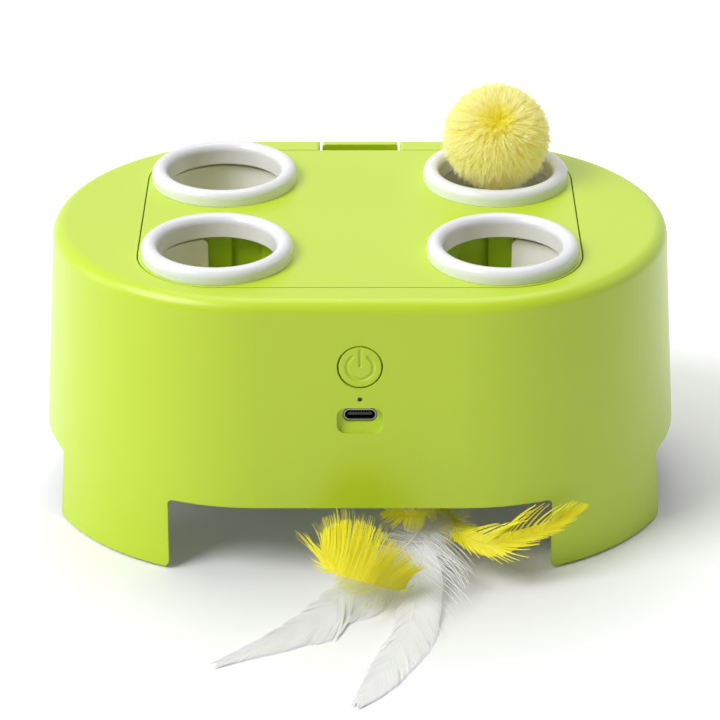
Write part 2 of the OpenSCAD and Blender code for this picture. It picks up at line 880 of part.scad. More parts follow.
// Feather: a thin blade about its shaft, bare at the quill and widest past the middle
module feather(pts, half_width, bare, face) {
    n = 22;
    rings = [for (i = [0:n])
        let (t = i / n, p = along(pts, t), v = unit(along(pts, min(t + 0.01, 1)) - along(pts, max(t - 0.01, 0))),
            side = unit(cross(face, v)), up = cross(v, side),
            s = max(0, (t - bare) / (1 - bare)),
            w = max(0.5, half_width * pow(sin(180 * pow(s, 0.75)), 0.8)),
            h = 0.55 - 0.35 * t)
        [p - w * side, p - 0.5 * w * side + 0.7 * h * up, p + h * up, p + 0.5 * w * side + 0.7 * h * up,
            p + w * side, p + 0.5 * w * side - 0.7 * h * up, p - h * up, p - 0.5 * w * side - 0.7 * h * up]];
    points = [for (r = rings) each r];
    faces = concat([[7, 6, 5, 4, 3, 2, 1, 0]],
        [for (i = [0:n - 1], j = [0:7]) let (a = i * 8 + j, b = i * 8 + (j + 1) % 8) each [[a, b, b + 8], [a, b + 8, a + 8]]],
        [[for (j = [0:7]) n * 8 + j]]);
    polyhedron(points, faces);
}

module feather_white_long() {
    color(white) feather(white_long, 9, 0.4, [0, -0.2, 1]);
}

module feather_white_side() {
    color(white) feather(white_side, 7, 0.44, [0.2, -0.3, 1]);
}

module feather_yellow_left() {
    color(yellow) feather(yellow_left, 7, 0.44, [-0.1, -1, 0.3]);
}

module feather_yellow_right() {
    color(yellow) feather(yellow_right, 5.5, 0.36, [0.1, -0.9, 0.6]);
}

module feather_yellow_small() {
    color(yellow) feather(yellow_small, 3, 0.46, [0, -1, 0.4]);
}

// Control board behind the front wall
module control_board() {
    color(board_green)
        on_front()
            difference() {
                translate([-17, -board_down, -board_face - board_t])
                    cube([34, board_up + board_down, board_t]);
                for (sx = [-1, 1], y = board_rows)
                    translate([sx * 14, y, -board_face - board_t - 1])
                        cylinder(d = 2, h = 5);
            }
}

module board_screws() {
    color(steel)
        on_front()
            for (sx = [-1, 1], y = board_rows)
                translate([sx * 14, y, -board_face - board_t - 1])
                    screw_up(3.6, 1, 1.7, 5);
}

// Charging socket: a rounded metal shell with a tongue
module charging_socket() {
    depth = board_face - 2.3;
    color(steel)
        on_front()
            translate([0, -socket_drop, -board_face]) {
                difference() {
                    linear_extrude(depth)
                        slot_2d(8.94, 3.26, 1.6);
                    translate([0, 0, 1])
                        linear_extrude(depth)
                            slot_2d(8.3, 2.6, 1.28);
                }
                translate([-3.3, -0.35, 0.5])
                    cube([6.6, 0.7, depth - 1.2]);
            }
}

module tact_switch() {
    color(black)
        on_front()
            difference() {
                translate([-3, -3, -board_face])
                    cube([6, 6, 3.5]);
                translate([0, 0, -board_face + 1])
                    cylinder(d = 3.6, h = 5);
            }
}

module switch_plunger() {
    color(black)
        on_front()
            translate([0, 0, -5.6])
                cylinder(d = 3.4, h = 1.75);
}

// Power button: flush cap with a retaining flange and a nub on the switch
module power_button() {
    color(green)
        on_front() {
            translate([0, 0, -2.8])
                cylinder(d = button_d, h = 2.7);
            translate([0, 0, -3.35])
                cylinder(d = 14, h = 0.7);
            translate([0, 0, -3.85])
                cylinder(d = 3.2, h = 0.7);
        }
}

module status_led() {
    color(white)
        on_front()
            translate([-0.8, -led_drop - 0.4, -board_face])
                cube([1.6, 0.8, 0.6]);
}

module light_pipe() {
    color(black)
        on_front()
            translate([0, -led_drop, -board_face + 0.6])
                cylinder(d = 1.3, h = board_face - 0.85);
}

// Battery: one round cell in a tray behind the mechanism
cell_d = 18.4;
cell_l = 65;
cell_z = floor_z + 1.6 + cell_d / 2;
tray_x = cell_l / 2 + 2.8;
tray_y = cell_d / 2 + 1.6;
tray_h = 8;
cell_y = sqrt(pow(wall_r(floor_z + tray_h) - wall - 0.6, 2) - pow(max(tray_x - end_x, 0), 2)) - tray_y;

module battery_cell() {
    color(cell_blue)
        translate([-cell_l / 2, cell_y, cell_z])
            rotate([0, 90, 0]) {
                cylinder(d = cell_d, h = cell_l - 1.2);
                cylinder(d = 6, h = cell_l);
            }
}

module battery_tray() {
    inner = cell_l + 2;
    color(white)
        translate([0, cell_y, floor_z]) {
            translate([-inner / 2 - 1.8, -cell_d / 2 - 1.6, 0])
                cube([inner + 3.6, cell_d + 3.2, 1.6]);
            for (s = [-1, 1]) {
                translate([s * (inner / 2 + 0.9) - 0.9, -cell_d / 2 - 1.6, 0])
                    cube([1.8, cell_d + 3.2, tray_h]);
                translate([-inner / 2 - 1, s * (cell_d / 2 + 0.9) - 0.7, 0])
                    cube([inner + 2, 1.4, tray_h]);
            }
        }
}

module battery_contacts() {
    color(brass)
        for (s = [-1, 1])
            translate([s * (cell_l / 2 + 0.5) - 0.5, cell_y - 5, floor_z + 1.6])
                cube([1, 10, 13]);
}

housing();
base_plate();
base_screws();
foot_pads();
lid();
hole_screens();
ring(-1, -1);  // ring_front_left
ring(1, -1);  // ring_front_right
ring(-1, 1);  // ring_rear_left
ring(1, 1);  // ring_rear_right
guide(-1, -1);  // guide_front_left
guide(1, -1);  // guide_front_right
guide(-1, 1);  // guide_rear_left
guide(1, 1);  // guide_rear_right
guide_screws();
guide_rods();
carriage(-1, -1, 0);  // carriage_front_left
carriage(1, -1, 0);  // carriage_front_right
carriage(-1, 1, 0);  // carriage_rear_left
carriage(1, 1, ball_travel);  // carriage_rear_right
ball(-1, -1, 0);  // ball_front_left
ball(1, -1, 0);  // ball_front_right
ball(-1, 1, 0);  // ball_rear_left
ball(1, 1, ball_travel);  // ball_rear_right
lever(-1, -1, -swing_down);  // lever_front_left
lever(1, -1, -swing_down);  // lever_front_right
lever(-1, 1, -swing_down);  // lever_rear_left
lever(1, 1, swing_up);  // lever_rear_right
lift_motors();
chassis();
chassis_screws();
motor_straps();
strap_screws();
feather_motor();
motor_shaft();
motor_pinion();
idler_axle();
idler_gear();
shaft_bush();
feather_shaft();
shaft_gear();
feather_hub();
feather_ferrule();
feather_white_long();
feather_white_side();
feather_yellow_left();
feather_yellow_right();
feather_yellow_small();
control_board();
board_screws();
charging_socket();
tact_switch();
switch_plunger();
power_button();
status_led();
light_pipe();
battery_cell();
battery_tray();
battery_contacts();
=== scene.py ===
import math

import bpy
import numpy as np
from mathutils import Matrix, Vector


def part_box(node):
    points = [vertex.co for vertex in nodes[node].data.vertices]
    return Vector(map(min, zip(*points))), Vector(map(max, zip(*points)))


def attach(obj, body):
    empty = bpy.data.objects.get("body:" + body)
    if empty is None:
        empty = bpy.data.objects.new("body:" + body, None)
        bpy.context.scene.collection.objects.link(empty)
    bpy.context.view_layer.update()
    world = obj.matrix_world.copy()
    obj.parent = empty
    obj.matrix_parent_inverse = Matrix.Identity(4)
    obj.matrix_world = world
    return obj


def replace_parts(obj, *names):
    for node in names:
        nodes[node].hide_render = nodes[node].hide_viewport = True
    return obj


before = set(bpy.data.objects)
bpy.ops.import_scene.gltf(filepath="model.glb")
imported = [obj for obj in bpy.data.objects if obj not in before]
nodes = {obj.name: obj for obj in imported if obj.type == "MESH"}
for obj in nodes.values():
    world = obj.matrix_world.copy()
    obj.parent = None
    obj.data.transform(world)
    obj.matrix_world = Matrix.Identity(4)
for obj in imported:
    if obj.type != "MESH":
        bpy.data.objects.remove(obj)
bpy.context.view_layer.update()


# Housing, base plate and feather hub.
# Injection-moulded ABS with a fine satin grain from the mould: lime green, with a plain grey plate below.
# The base plate is screwed up into posts in the housing, and the hub is pressed on its shaft.
class Wire:
    """A socket of a finish. Arithmetic on it adds Math nodes, and node() adds any other node."""

    def __init__(self, tree, socket):
        self.tree, self.socket = tree, socket

    def node(self, kind, settings, sockets, output=0):
        made = self.tree.nodes.new("ShaderNode" + kind)
        for key, value in settings.items():
            setattr(made, key, value)
        for key, value in sockets.items():
            self.feed(made.inputs[key], value)
        return Wire(self.tree, made.outputs[output])

    def feed(self, socket, value):
        if isinstance(value, Wire):
            self.tree.links.new(value.socket, socket)
        elif isinstance(value, tuple) and len(value) == 3 and socket.type == "RGBA":
            socket.default_value = (*value, 1)
        else:
            socket.default_value = value

    def math(self, operation, a, b):
        return self.node("Math", {"operation": operation}, {0: a, 1: b})

    def __add__(self, other):
        return self.math("ADD", self, other)

    def __radd__(self, other):
        return self.math("ADD", other, self)

    def __sub__(self, other):
        return self.math("SUBTRACT", self, other)

    def __rsub__(self, other):
        return self.math("SUBTRACT", other, self)

    def __mul__(self, other):
        return self.math("MULTIPLY", self, other)

    def __rmul__(self, other):
        return self.math("MULTIPLY", other, self)

    def above(self, edge, blur):
        return self.node("MapRange", {"interpolation_type": "SMOOTHSTEP"},
                         {"Value": self, "From Min": edge - blur, "From Max": edge + blur})

    def mix(self, low, high):
        return self.node("Mix", {"data_type": "RGBA"}, {"Factor": self, 6: low, 7: high}, 2)

    def grain(self, scale, detail=2.0, stretch=(1, 1, 1)):
        place = self if stretch == (1, 1, 1) else self.node(
            "VectorMath", {"operation": "MULTIPLY"}, {0: self, 1: stretch})
        return self.node("TexNoise", {}, {"Vector": place, "Scale": scale, "Detail": detail})

    def bump(self, depth, strength=1.0, edge=0.0):
        sockets = {"Height": self, "Distance": depth, "Strength": strength}
        if edge:
            sockets["Normal"] = self.node("Bevel", {"samples": 6}, {"Radius": edge})
        return self.node("Bump", {}, sockets)


def start_finish(name):
    """A new material, its shader, and the wire that carries a point's place on the piece in metres."""
    made = bpy.data.materials.new(name)
    made.use_nodes = True
    tree = made.node_tree
    place = tree.nodes.new("ShaderNodeTexCoord")
    return made, tree.nodes["Principled BSDF"], Wire(tree, place.outputs["Object"])


def set_shader(place, shader, **sockets):
    for key, value in sockets.items():
        place.feed(shader.inputs[key.replace("_", " ")], value)


def coat_nodes(made, *names):
    for name in names:
        nodes[name].data.materials.clear()
        nodes[name].data.materials.append(made)


def moulded_plastic(name, low, high, rough, grain):
    made, shader, place = start_finish(name)
    fine = place.grain(grain, 3.0)
    broad = place.grain(22.0, 3.0)
    set_shader(place, shader, Base_Color=broad.mix(low, high), Roughness=rough + 0.10 * (fine - 0.5),
               Normal=fine.bump(0.00002, strength=0.35, edge=0.0005))
    return made


lime = moulded_plastic("lime_plastic", (0.535, 0.72, 0.007), (0.565, 0.755, 0.011), 0.38, 2600.0)
lime_shader = lime.node_tree.nodes["Principled BSDF"]
lime_shader.inputs["Coat Weight"].default_value = 0.45
lime_shader.inputs["Coat Roughness"].default_value = 0.34
coat_nodes(lime, "housing", "feather_hub")
under = moulded_plastic("grey_underside", (0.40, 0.425, 0.36), (0.44, 0.465, 0.40), 0.5, 1200.0)
coat_nodes(under, "base_plate")


# Foot pads and base screws.
# Black rubber strips glued into the leg edges, with the matt skin of cut rubber sheet; their darkness
# also stands in for the contact shadow under the legs, as painted shade.
# The screws are zinc-plated steel, driven from below.
def turned_metal(name, low, high, rough, stretch):
    made, shader, place = start_finish(name)
    lines = place.grain(900.0, 2.0, stretch)
    set_shader(place, shader, Base_Color=lines.mix(low, high), Roughness=rough + 0.16 * (lines - 0.5),
               Normal=lines.bump(0.00001, 0.3))
    shader.inputs["Metallic"].default_value = 1.0
    return made


# Dark pads under the legs: black rubber, and painted shade for the contact shadow line.
rubber = moulded_plastic("pad_rubber_painted_shade", (0.05, 0.055, 0.045), (0.08, 0.085, 0.07), 0.8, 1500.0)
coat_nodes(rubber, "foot_pads")
steel = turned_metal("zinc_steel", (0.50, 0.51, 0.53), (0.66, 0.67, 0.68), 0.34, (1, 1, 6))
coat_nodes(steel, "base_screws", "chassis_screws", "guide_screws", "guide_rods", "strap_screws",
           "motor_shaft", "idler_axle", "feather_shaft", "board_screws", "motor_straps")


# Guides, carriages, levers and chassis.
# White moulded acetal: open collars under the holes, sliding tables on steel rods, levers and the deck,
# with its gears, the feathers' ferrule and the battery tray. Two screws hold each guide to the base.
white = moulded_plastic("white_acetal", (0.895, 0.915, 0.985), (0.925, 0.94, 0.995), 0.38, 1800.0)
corners = ["front_left", "front_right", "rear_left", "rear_right"]
coat_nodes(white, *["guide_" + c for c in corners], *["carriage_" + c for c in corners],
           *["lever_" + c for c in corners], "chassis", "idler_gear", "shaft_gear", "feather_ferrule",
           "battery_tray")


# Motors, bush and pinion.
# Drawn steel motor cans, a turned brass bush for the feather shaft, and a brass pinion.
# The cans sit in the chassis under two sheet straps.
can = turned_metal("motor_can", (0.42, 0.43, 0.45), (0.58, 0.58, 0.60), 0.28, (7, 7, 1))
coat_nodes(can, "lift_motors", "feather_motor")
brass = turned_metal("turned_brass", (0.62, 0.44, 0.15), (0.78, 0.58, 0.24), 0.3, (1, 1, 8))
coat_nodes(brass, "shaft_bush", "motor_pinion", "battery_contacts")


# Control board, switch, light and charging socket.
# A green glass-fibre board with copper tracks under its lacquer, a small push switch and a light.
# The socket is a drawn steel shell with a black tongue inside it.
def board_finish():
    made, shader, place = start_finish("board_lacquer")
    tracks = place.node("TexBrick", {"offset": 0.37, "squash": 1.6}, {
        "Vector": place, "Scale": 420.0, "Mortar Size": 0.05, "Mortar Smooth": 0.3,
        "Color1": (0.006, 0.10, 0.028), "Color2": (0.010, 0.13, 0.04), "Mortar": (0.02, 0.22, 0.07)})
    pads = place.node("TexVoronoi", {}, {"Vector": place, "Scale": 330.0})
    tin = 1 - pads.above(0.16, 0.03)
    set_shader(place, shader, Base_Color=tin.mix(tracks, (0.62, 0.60, 0.52)), Roughness=0.42 - 0.18 * tin,
               Normal=tin.bump(0.00006, 0.5))
    return made


coat_nodes(board_finish(), "control_board")
black = moulded_plastic("black_plastic", (0.010, 0.010, 0.011), (0.022, 0.022, 0.024), 0.42, 1700.0)
coat_nodes(black, "tact_switch", "switch_plunger", "light_pipe")
clear = moulded_plastic("light_body", (0.70, 0.71, 0.66), (0.82, 0.82, 0.78), 0.3, 1500.0)
coat_nodes(clear, "status_led")

wall_lean = math.radians(3.7)
wall_foot, button_rise, button_height = 0.0637, 0.0623, 0.0629
panel_point = np.array([0.0, -(wall_foot - math.tan(wall_lean) * button_rise), button_height])
panel_right = np.array([1.0, 0.0, 0.0])
panel_up = np.array([0.0, math.sin(wall_lean), math.cos(wall_lean)])
panel_out = np.array([0.0, -math.cos(wall_lean), math.sin(wall_lean)])


def on_panel(points):
    """Places points in millimetres from the button's middle: right, up the wall, out of the wall."""
    points = np.asarray(points, float) * 0.001
    right, up, out = points[:, :1], points[:, 1:2], points[:, 2:3]
    return panel_point + right * panel_right + up * panel_up + out * panel_out


def build_mesh(name, points, faces, made, smooth=True):
    mesh = bpy.data.meshes.new(name)
    mesh.from_pydata([tuple(p) for p in points], [], faces)
    mesh.polygons.foreach_set("use_smooth", [smooth] * len(mesh.polygons))
    mesh.materials.append(made)
    mesh.update()
    return mesh


def add_piece(name, mesh, body, at=(0.0, 0.0, 0.0)):
    piece = bpy.data.objects.new(name, mesh)
    bpy.context.scene.collection.objects.link(piece)
    piece.location = at
    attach(piece, body)
    return piece


def socket_finish():
    made, shader, place = start_finish("socket_shell")
    lines = place.grain(1100.0, 2.0, (1, 5, 1))
    low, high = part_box("charging_socket")
    half_width, half_height, blur = 0.0036, 0.0008, 0.0001
    across = place.math("ABSOLUTE", place.node("SeparateXYZ", {}, {0: place}), 0.0)
    height = place.node("SeparateXYZ", {}, {0: place}, 2) - (low[2] + high[2]) / 2
    off_middle = height.math("ABSOLUTE", height, 0.0)
    tongue = (1 - across.above(half_width, blur)) * (1 - off_middle.above(half_height, blur))
    metal = lines.mix((0.20, 0.20, 0.205), (0.30, 0.30, 0.30))
    set_shader(place, shader, Base_Color=tongue.mix(metal, (0.012, 0.012, 0.013)), Metallic=1 - tongue,
               Roughness=0.26 + 0.1 * lines)
    return made


coat_nodes(socket_finish(), "charging_socket")


# Lining of the charging socket.
# A black moulded liner in the back of the shell, with a tongue that carries a row of gold contacts.
# It is moulded in one with the socket and soldered to the board.
def rounded_slot(width, height, radius, steps=8):
    """Outline of a rounded slot about the origin, in millimetres."""
    out = []
    for k, (sx, sy) in enumerate([(1, 1), (-1, 1), (-1, -1), (1, -1)]):
        for i in range(steps + 1):
            a = math.radians(90 * k + 90 * i / steps)
            out.append((sx * (width / 2 - radius) + radius * math.cos(a),
                        sy * (height / 2 - radius) + radius * math.sin(a)))
    return out


def tube_faces(first, around, rings):
    """Quads between closed rings of points, which follow one another from the first index."""
    quads = []
    for low in range(first, first + (rings - 1) * around, around):
        for i in range(around):
            j = (i + 1) % around
            quads.append((low + i, low + j, low + around + j, low + around + i))
    return quads


socket_drop = 14.73
liner_mouth, liner_back = -2.42, -6.6
liner = rounded_slot(8.22, 2.52, 1.24)
points = []
for size, out in ((1.0, liner_mouth), (1.0, liner_back), (0.02, liner_back)):
    points += [(x * size, y * size - socket_drop, out) for x, y in liner]
faces = tube_faces(0, len(liner), 3)
tongue = rounded_slot(6.5, 0.74, 0.2, 3)
first = len(points)
for size, out in ((1.0, liner_back), (1.0, -3.45), (0.94, -3.3)):
    points += [(x * size, y * size - socket_drop, out) for x, y in tongue]
faces += tube_faces(first, len(tongue), 3)
faces.append(tuple(range(len(points) - len(tongue), len(points))))
liner_mesh = build_mesh("socket_liner", on_panel(points), faces, black, smooth=False)
add_piece("socket_liner", liner_mesh, "base")

contacts, contact_pitch, contact_half = 8, 0.72, 0.17
contact_bend = [(0.40, -5.6), (0.40, -3.42), (0.22, -3.28), (-0.22, -3.28), (-0.40, -3.42), (-0.40, -5.6)]
points, faces = [], []
for k in range(contacts):
    x = (k - (contacts - 1) / 2) * contact_pitch
    first = len(points)
    for y, out in contact_bend:
        points += [(x - contact_half, y - socket_drop, out), (x + contact_half, y - socket_drop, out)]
    faces += [(a, a + 1, a + 3, a + 2) for a in range(first, len(points) - 2, 2)]
gold = turned_metal("gold_contact", (0.70, 0.50, 0.20), (0.86, 0.66, 0.32), 0.3, (8, 1, 1))
contact_mesh = build_mesh("socket_contacts", on_panel(points), faces, gold, smooth=False)
add_piece("socket_contacts", contact_mesh, "base")


# Power button.
# A lime green moulded cap in a round opening, with the power sign pressed into its face.
# A flange behind the wall keeps it in, and a nub pushes the switch.
sign_r, sign_gap, sign_press = 3.6, math.radians(36), 0.34
arc_half, bar_half, bar_low, bar_high = 0.40, 0.36, 0.35, 4.75


def sign_depth(x, y):
    """Depth in millimetres of the pressed sign at a point of the cap: an open ring with a bar."""
    if abs(math.atan2(x, y)) >= sign_gap:
        arc = abs(math.hypot(x, y) - sign_r)
    else:
        arc = math.hypot(abs(x) - sign_r * math.sin(sign_gap), y - sign_r * math.cos(sign_gap))
    bar = math.hypot(x, max(bar_low - y, 0, y - bar_high))
    away = min(arc / arc_half, bar / bar_half)
    return sign_press * max(0.0, min(1.0, (1.25 - away) / 0.6))


cap_r, cap_face, cap_back = 5.8, -0.1, -2.65
flange_r, flange_back, nub_r, nub_end = 7.0, -3.35, 1.6, -3.85
around = 168
rims = [(cap_r * k / 46, cap_face) for k in range(1, 46)]
rims += [(cap_r - 0.05, -0.13), (cap_r, -0.26), (cap_r, cap_back), (flange_r, cap_back),
         (flange_r, flange_back), (nub_r, flange_back), (nub_r, nub_end)]
points = [(0.0, 0.0, cap_face)]
for r, out in rims:
    for i in range(around):
        a = 2 * math.pi * i / around
        x, y = r * math.sin(a), r * math.cos(a)
        points.append((x, y, out - (sign_depth(x, y) if out == cap_face else 0.0)))
faces = [(0, 1 + (i + 1) % around, 1 + i) for i in range(around)] + tube_faces(1, around, len(rims))
faces.append(tuple(range(len(points) - around, len(points))))
cap_mesh = build_mesh("power_cap", on_panel(points), faces, lime)
cap = add_piece("power_cap", cap_mesh, "button")
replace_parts(cap, "power_button")


# Battery cell.
# One round rechargeable cell in a shrunk blue sleeve with a pale band at one end.
# It lies in the white tray between two brass contacts.
def sleeve_finish():
    made, shader, place = start_finish("cell_sleeve")
    along_x = place.node("SeparateXYZ", {}, {0: place})
    band = along_x.above(0.022, 0.0006) * (1 - along_x.above(0.0305, 0.0006))
    wrinkle = place.grain(160.0, 4.0, (3, 1, 1))
    blue = wrinkle.mix((0.030, 0.115, 0.36), (0.045, 0.15, 0.45))
    set_shader(place, shader, Base_Color=band.mix(blue, (0.72, 0.73, 0.72)),
               Roughness=0.22 + 0.14 * wrinkle, Normal=wrinkle.bump(0.00008, 0.4))
    return made


coat_nodes(sleeve_finish(), "battery_cell")


# Lid and rings.
# The lid is the same lime green ABS, flush in the top with a spring tab at the back.
# Each hole has a glossy white moulded ring pressed into it.
coat_nodes(lime, "lid")
# The screens in the holes are the lime plastic made darker: painted shade inside the holes.
screen_painted_shade = moulded_plastic("screen_green_painted_shade", (0.30, 0.50, 0.004), (0.34, 0.55, 0.007), 0.42, 2600.0)
coat_nodes(screen_painted_shade, "hole_screens")
ring_white = moulded_plastic("ring_plastic", (0.845, 0.853, 0.885), (0.89, 0.90, 0.925), 0.26, 1500.0)
coat_nodes(ring_white, *["ring_" + c for c in corners])


# Fur balls.
# Dyed lemon-yellow fur round a felt core: fine hairs in pointed tufts, combed from a whorl at the front.
# Each ball is glued on its carriage's stem.
fur_core, hair_root, hair_short, hair_long, hair_half = 0.0136, 0.0131, 0.0023, 0.00355, 0.000062
whorl = (0.0, -0.752, 0.660)


def light_through(place, shader, colour, share):
    """Lets part of the light pass through a hair or barb from behind."""
    thin = place.node("BsdfTranslucent", {}, {"Color": colour})
    both = place.node("MixShader", {}, {0: share, 1: Wire(place.tree, shader.outputs[0]), 2: thin})
    place.tree.links.new(both.socket, place.tree.nodes["Material Output"].inputs["Surface"])


def fur_finish():
    made, shader, place = start_finish("lemon_fur")
    far = place.node("VectorMath", {"operation": "LENGTH"}, {0: place}, 1)
    tip = far.above(0.0144, 0.0010)
    tuft = place.grain(700.0, 2.0)
    root = tuft.mix((0.87, 0.78, 0.01), (0.95, 0.87, 0.04))
    end = tuft.mix((0.985, 0.965, 0.42), (1.0, 0.99, 0.78))
    out = place.node("VectorMath", {"operation": "NORMALIZE"}, {0: place})
    near_whorl = place.node("VectorMath", {"operation": "DOT_PRODUCT"}, {0: out, 1: whorl}, 1)
    dye = (tip * (1 - 0.75 * near_whorl.above(0.955, 0.05))).mix(root, end)
    # Painted glow: the fur emits a little of its own colour, standing in for light scattered between the
    # hairs.
    set_shader(place, shader, Base_Color=dye, Roughness=0.62 - 0.1 * tip, Emission_Color=dye)
    shader.inputs["Emission Strength"].default_value = 0.085  # light scattered between the hairs
    light_through(place, shader, (0.95, 0.90, 0.22), 0.3)
    return made


def unit(v):
    return v / np.linalg.norm(v, axis=-1, keepdims=True)


def felt_core(around, rings):
    """Points of a slightly lumpy ball, ring by ring from the top."""
    points = []
    for b in np.linspace(0.02, math.pi - 0.02, rings):
        for a in np.linspace(0, 2 * math.pi, around, endpoint=False):
            wide = fur_core * (1 + 0.012 * math.sin(7 * a) * math.sin(5 * b)) * math.sin(b)
            points.append((wide * math.cos(a), wide * math.sin(a), fur_core * math.cos(b)))
    return np.array(points)


def fur_ball(seed, tufts, hairs):
    """Points and faces of one ball about its centre: a felt core, and flat pointed hairs in tufts."""
    rng = np.random.default_rng(seed)
    k = np.arange(tufts) + 0.5
    polar = np.arccos(1 - 2 * k / tufts)
    turn = math.pi * (1 + 5 ** 0.5) * k
    out = np.stack([np.cos(turn) * np.sin(polar), np.sin(turn) * np.sin(polar), np.cos(polar)], 1)
    out = unit(out + rng.normal(0, 0.018, out.shape))
    to_whorl = out @ np.array(whorl)
    away = out * to_whorl[:, None] - np.array(whorl)
    away /= np.linalg.norm(away, axis=1)[:, None] + 1e-6
    combed = np.minimum(np.arccos(np.clip(to_whorl, -1, 1)) / 0.8, 1)
    comb = np.radians(30 + 30 * combed + rng.normal(0, 8, tufts))[:, None]
    lean = unit(out * np.cos(comb) + away * np.sin(comb) + rng.normal(0, 0.12, out.shape))
    centre = out * hair_root
    tip = centre + lean * rng.uniform(hair_short, hair_long, tufts)[:, None]
    total = tufts * hairs
    own = np.repeat(np.arange(tufts), hairs)
    spread = rng.normal(0, 0.00036, (total, 3))
    root = centre[own] + spread
    stray = rng.normal(-0.0004, 0.0006, total) + rng.exponential(0.0005, total)
    end = tip[own] + 0.70 * spread + lean[own] * stray[:, None]
    sag = rng.normal(0, 0.00018, (total, 3)) + out[own] * 0.0003
    side = unit(np.cross(lean[own], out[own] + rng.normal(0, 0.22, (total, 3))))
    rows = []
    for s in (0.0, 0.55):
        row = root + (end - root) * s + sag * (4 * s * (1 - s))
        half = (hair_half * (1 - 0.6 * s ** 1.6)) * side
        rows += [row - half, row + half]
    points = np.stack(rows + [end], 1).reshape(-1, 3)
    base = np.arange(total)[:, None] * 5
    faces = (base + np.array([0, 1, 3, 2])).tolist() + (base + np.array([2, 3, 4])).tolist()
    around, rings = 40, 24
    shell = tube_faces(len(points), around, rings)
    return np.concatenate([points, felt_core(around, rings)]), [tuple(f) for f in faces] + shell


fur = fur_finish()
fur_mesh = build_mesh("fur_front_left", *fur_ball(seed=5, tufts=5200, hairs=12), fur, smooth=False)
for c in corners:
    low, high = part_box("ball_" + c)
    middle = [(a + b) / 2 for a, b in zip(low, high)]
    piece = add_piece("fur_" + c, fur_mesh, "ball_" + c, middle)
    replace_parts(piece, "ball_" + c)


# Feathers.
# Dyed and natural hen feathers: a curved shaft, a closed vane, loose barbs by the quill and split edges.
# The quills are glued into the white ferrule at the end of the hub's arm.
def along(points, t):
    """Points on a smooth curve through the shaft's points, t from 0 to 1."""
    points = np.asarray(points, float)
    n = len(points) - 1
    u = np.minimum(np.asarray(t, float) * n, n - 1e-6)
    i = u.astype(int)
    f = (u - i)[:, None]
    a, b = points[np.maximum(i - 1, 0)], points[i]
    c, d = points[i + 1], points[np.minimum(i + 2, n)]
    square, cube = 2 * a - 5 * b + 4 * c - d, 3 * b - 3 * c + d - a
    return 0.5 * (2 * b + (c - a) * f + square * f ** 2 + cube * f ** 3)


def frame_along(shaft, t, face):
    """Place, direction, side and upper side of the shaft at each t."""
    v = unit(along(shaft, np.minimum(t + 0.01, 1)) - along(shaft, np.maximum(t - 0.01, 0)))
    knots = np.linspace(0, 1, len(face))
    up = np.stack([np.interp(t, knots, [f[i] for f in face]) for i in range(3)], 1)
    up = unit(up - (up * v).sum(1)[:, None] * v)
    return along(shaft, t), v, np.cross(v, up), up


def barbs(shaft, face, sign, span, length, lean, bend, lift, gap, wide, loose, rng, cling=0.55,
          split=0.17, ragged=1.0, taper=1.4):
    """Flat tapered barbs on one side of a shaft, and a tone for each of their points.

    Length, lean, bend and lift run over the span. Barbs cling in groups, and none dips below the floor.
    """
    run = along(shaft, np.linspace(span[0], span[1], 60))
    count = int(np.linalg.norm(np.diff(run, axis=0), axis=1).sum() / gap)
    u = np.linspace(0, 1, count)
    t = span[0] + (span[1] - span[0]) * u
    place, v, side, up = frame_along(shaft, t, face)
    side = side * sign

    def over(values):
        return np.interp(u, np.linspace(0, 1, len(values)), values)

    group = np.cumsum(rng.random(count) < split)
    swing = rng.normal(0, 1, group[-1] + 1)[group]
    jitter = rng.normal(0, 1, (4, count))
    reach = over(length) * (1 + ragged * (0.05 * swing + 0.06 * jitter[0]))
    a0 = np.radians(over(lean) + 2.5 * jitter[1] * loose)
    a1 = a0 - np.radians(over(bend) + 4.0 * ragged * swing + 5.0 * jitter[2] * loose)
    rise = over(lift) + 0.03 * swing + 0.10 * jitter[3] * loose
    steps = np.linspace(0, 1, 9)
    rows = [place]
    ways = []
    wave = rng.uniform(0, 6.28, count)
    for s in steps:
        a = a0 + (a1 - a0) * s
        way = np.cos(a)[:, None] * v + np.sin(a)[:, None] * side + (2 * s * rise)[:, None] * up
        way = way + (0.25 * loose * s * np.sin(wave + 5 * s))[:, None] * up
        ways.append(unit(way))
    for s in range(1, len(steps)):
        rows.append(rows[-1] + (ways[s - 1] + ways[s]) / 2 * (reach / (len(steps) - 1))[:, None])
    tips = rows[-1]
    members = np.maximum(np.bincount(group), 1)
    mean = np.stack([np.bincount(group, tips[:, i]) / members for i in range(3)], 1)
    points = []
    twist = rng.normal(0, 0.05 + 0.11 * ragged, count)[:, None]
    for s, row, way in zip(steps, rows, ways):
        row = row + (mean[group] - tips) * (cling * s ** 2)
        across = unit(np.cross(up, way))
        across = unit(across + twist * up)
        half = across * (wide / 2 * (1 - 0.78 * s ** taper))
        points += [row - half, row + half]
    points = np.stack(points, 1).reshape(-1, 3)
    floor_gap = rng.uniform(0.0003, 0.0007, count)
    points[:, 2] = np.maximum(points[:, 2], np.repeat(floor_gap, 2 * len(steps)))
    base = np.arange(count)[:, None] * (2 * len(steps))
    faces = np.concatenate([base + 2 * i + np.array([0, 1, 3, 2]) for i in range(len(steps) - 1)])
    tone = np.convolve(np.random.default_rng(count).normal(0, 1, count), np.full(5, 0.2), "same")
    return points, faces, np.repeat(tone, 2 * len(steps))


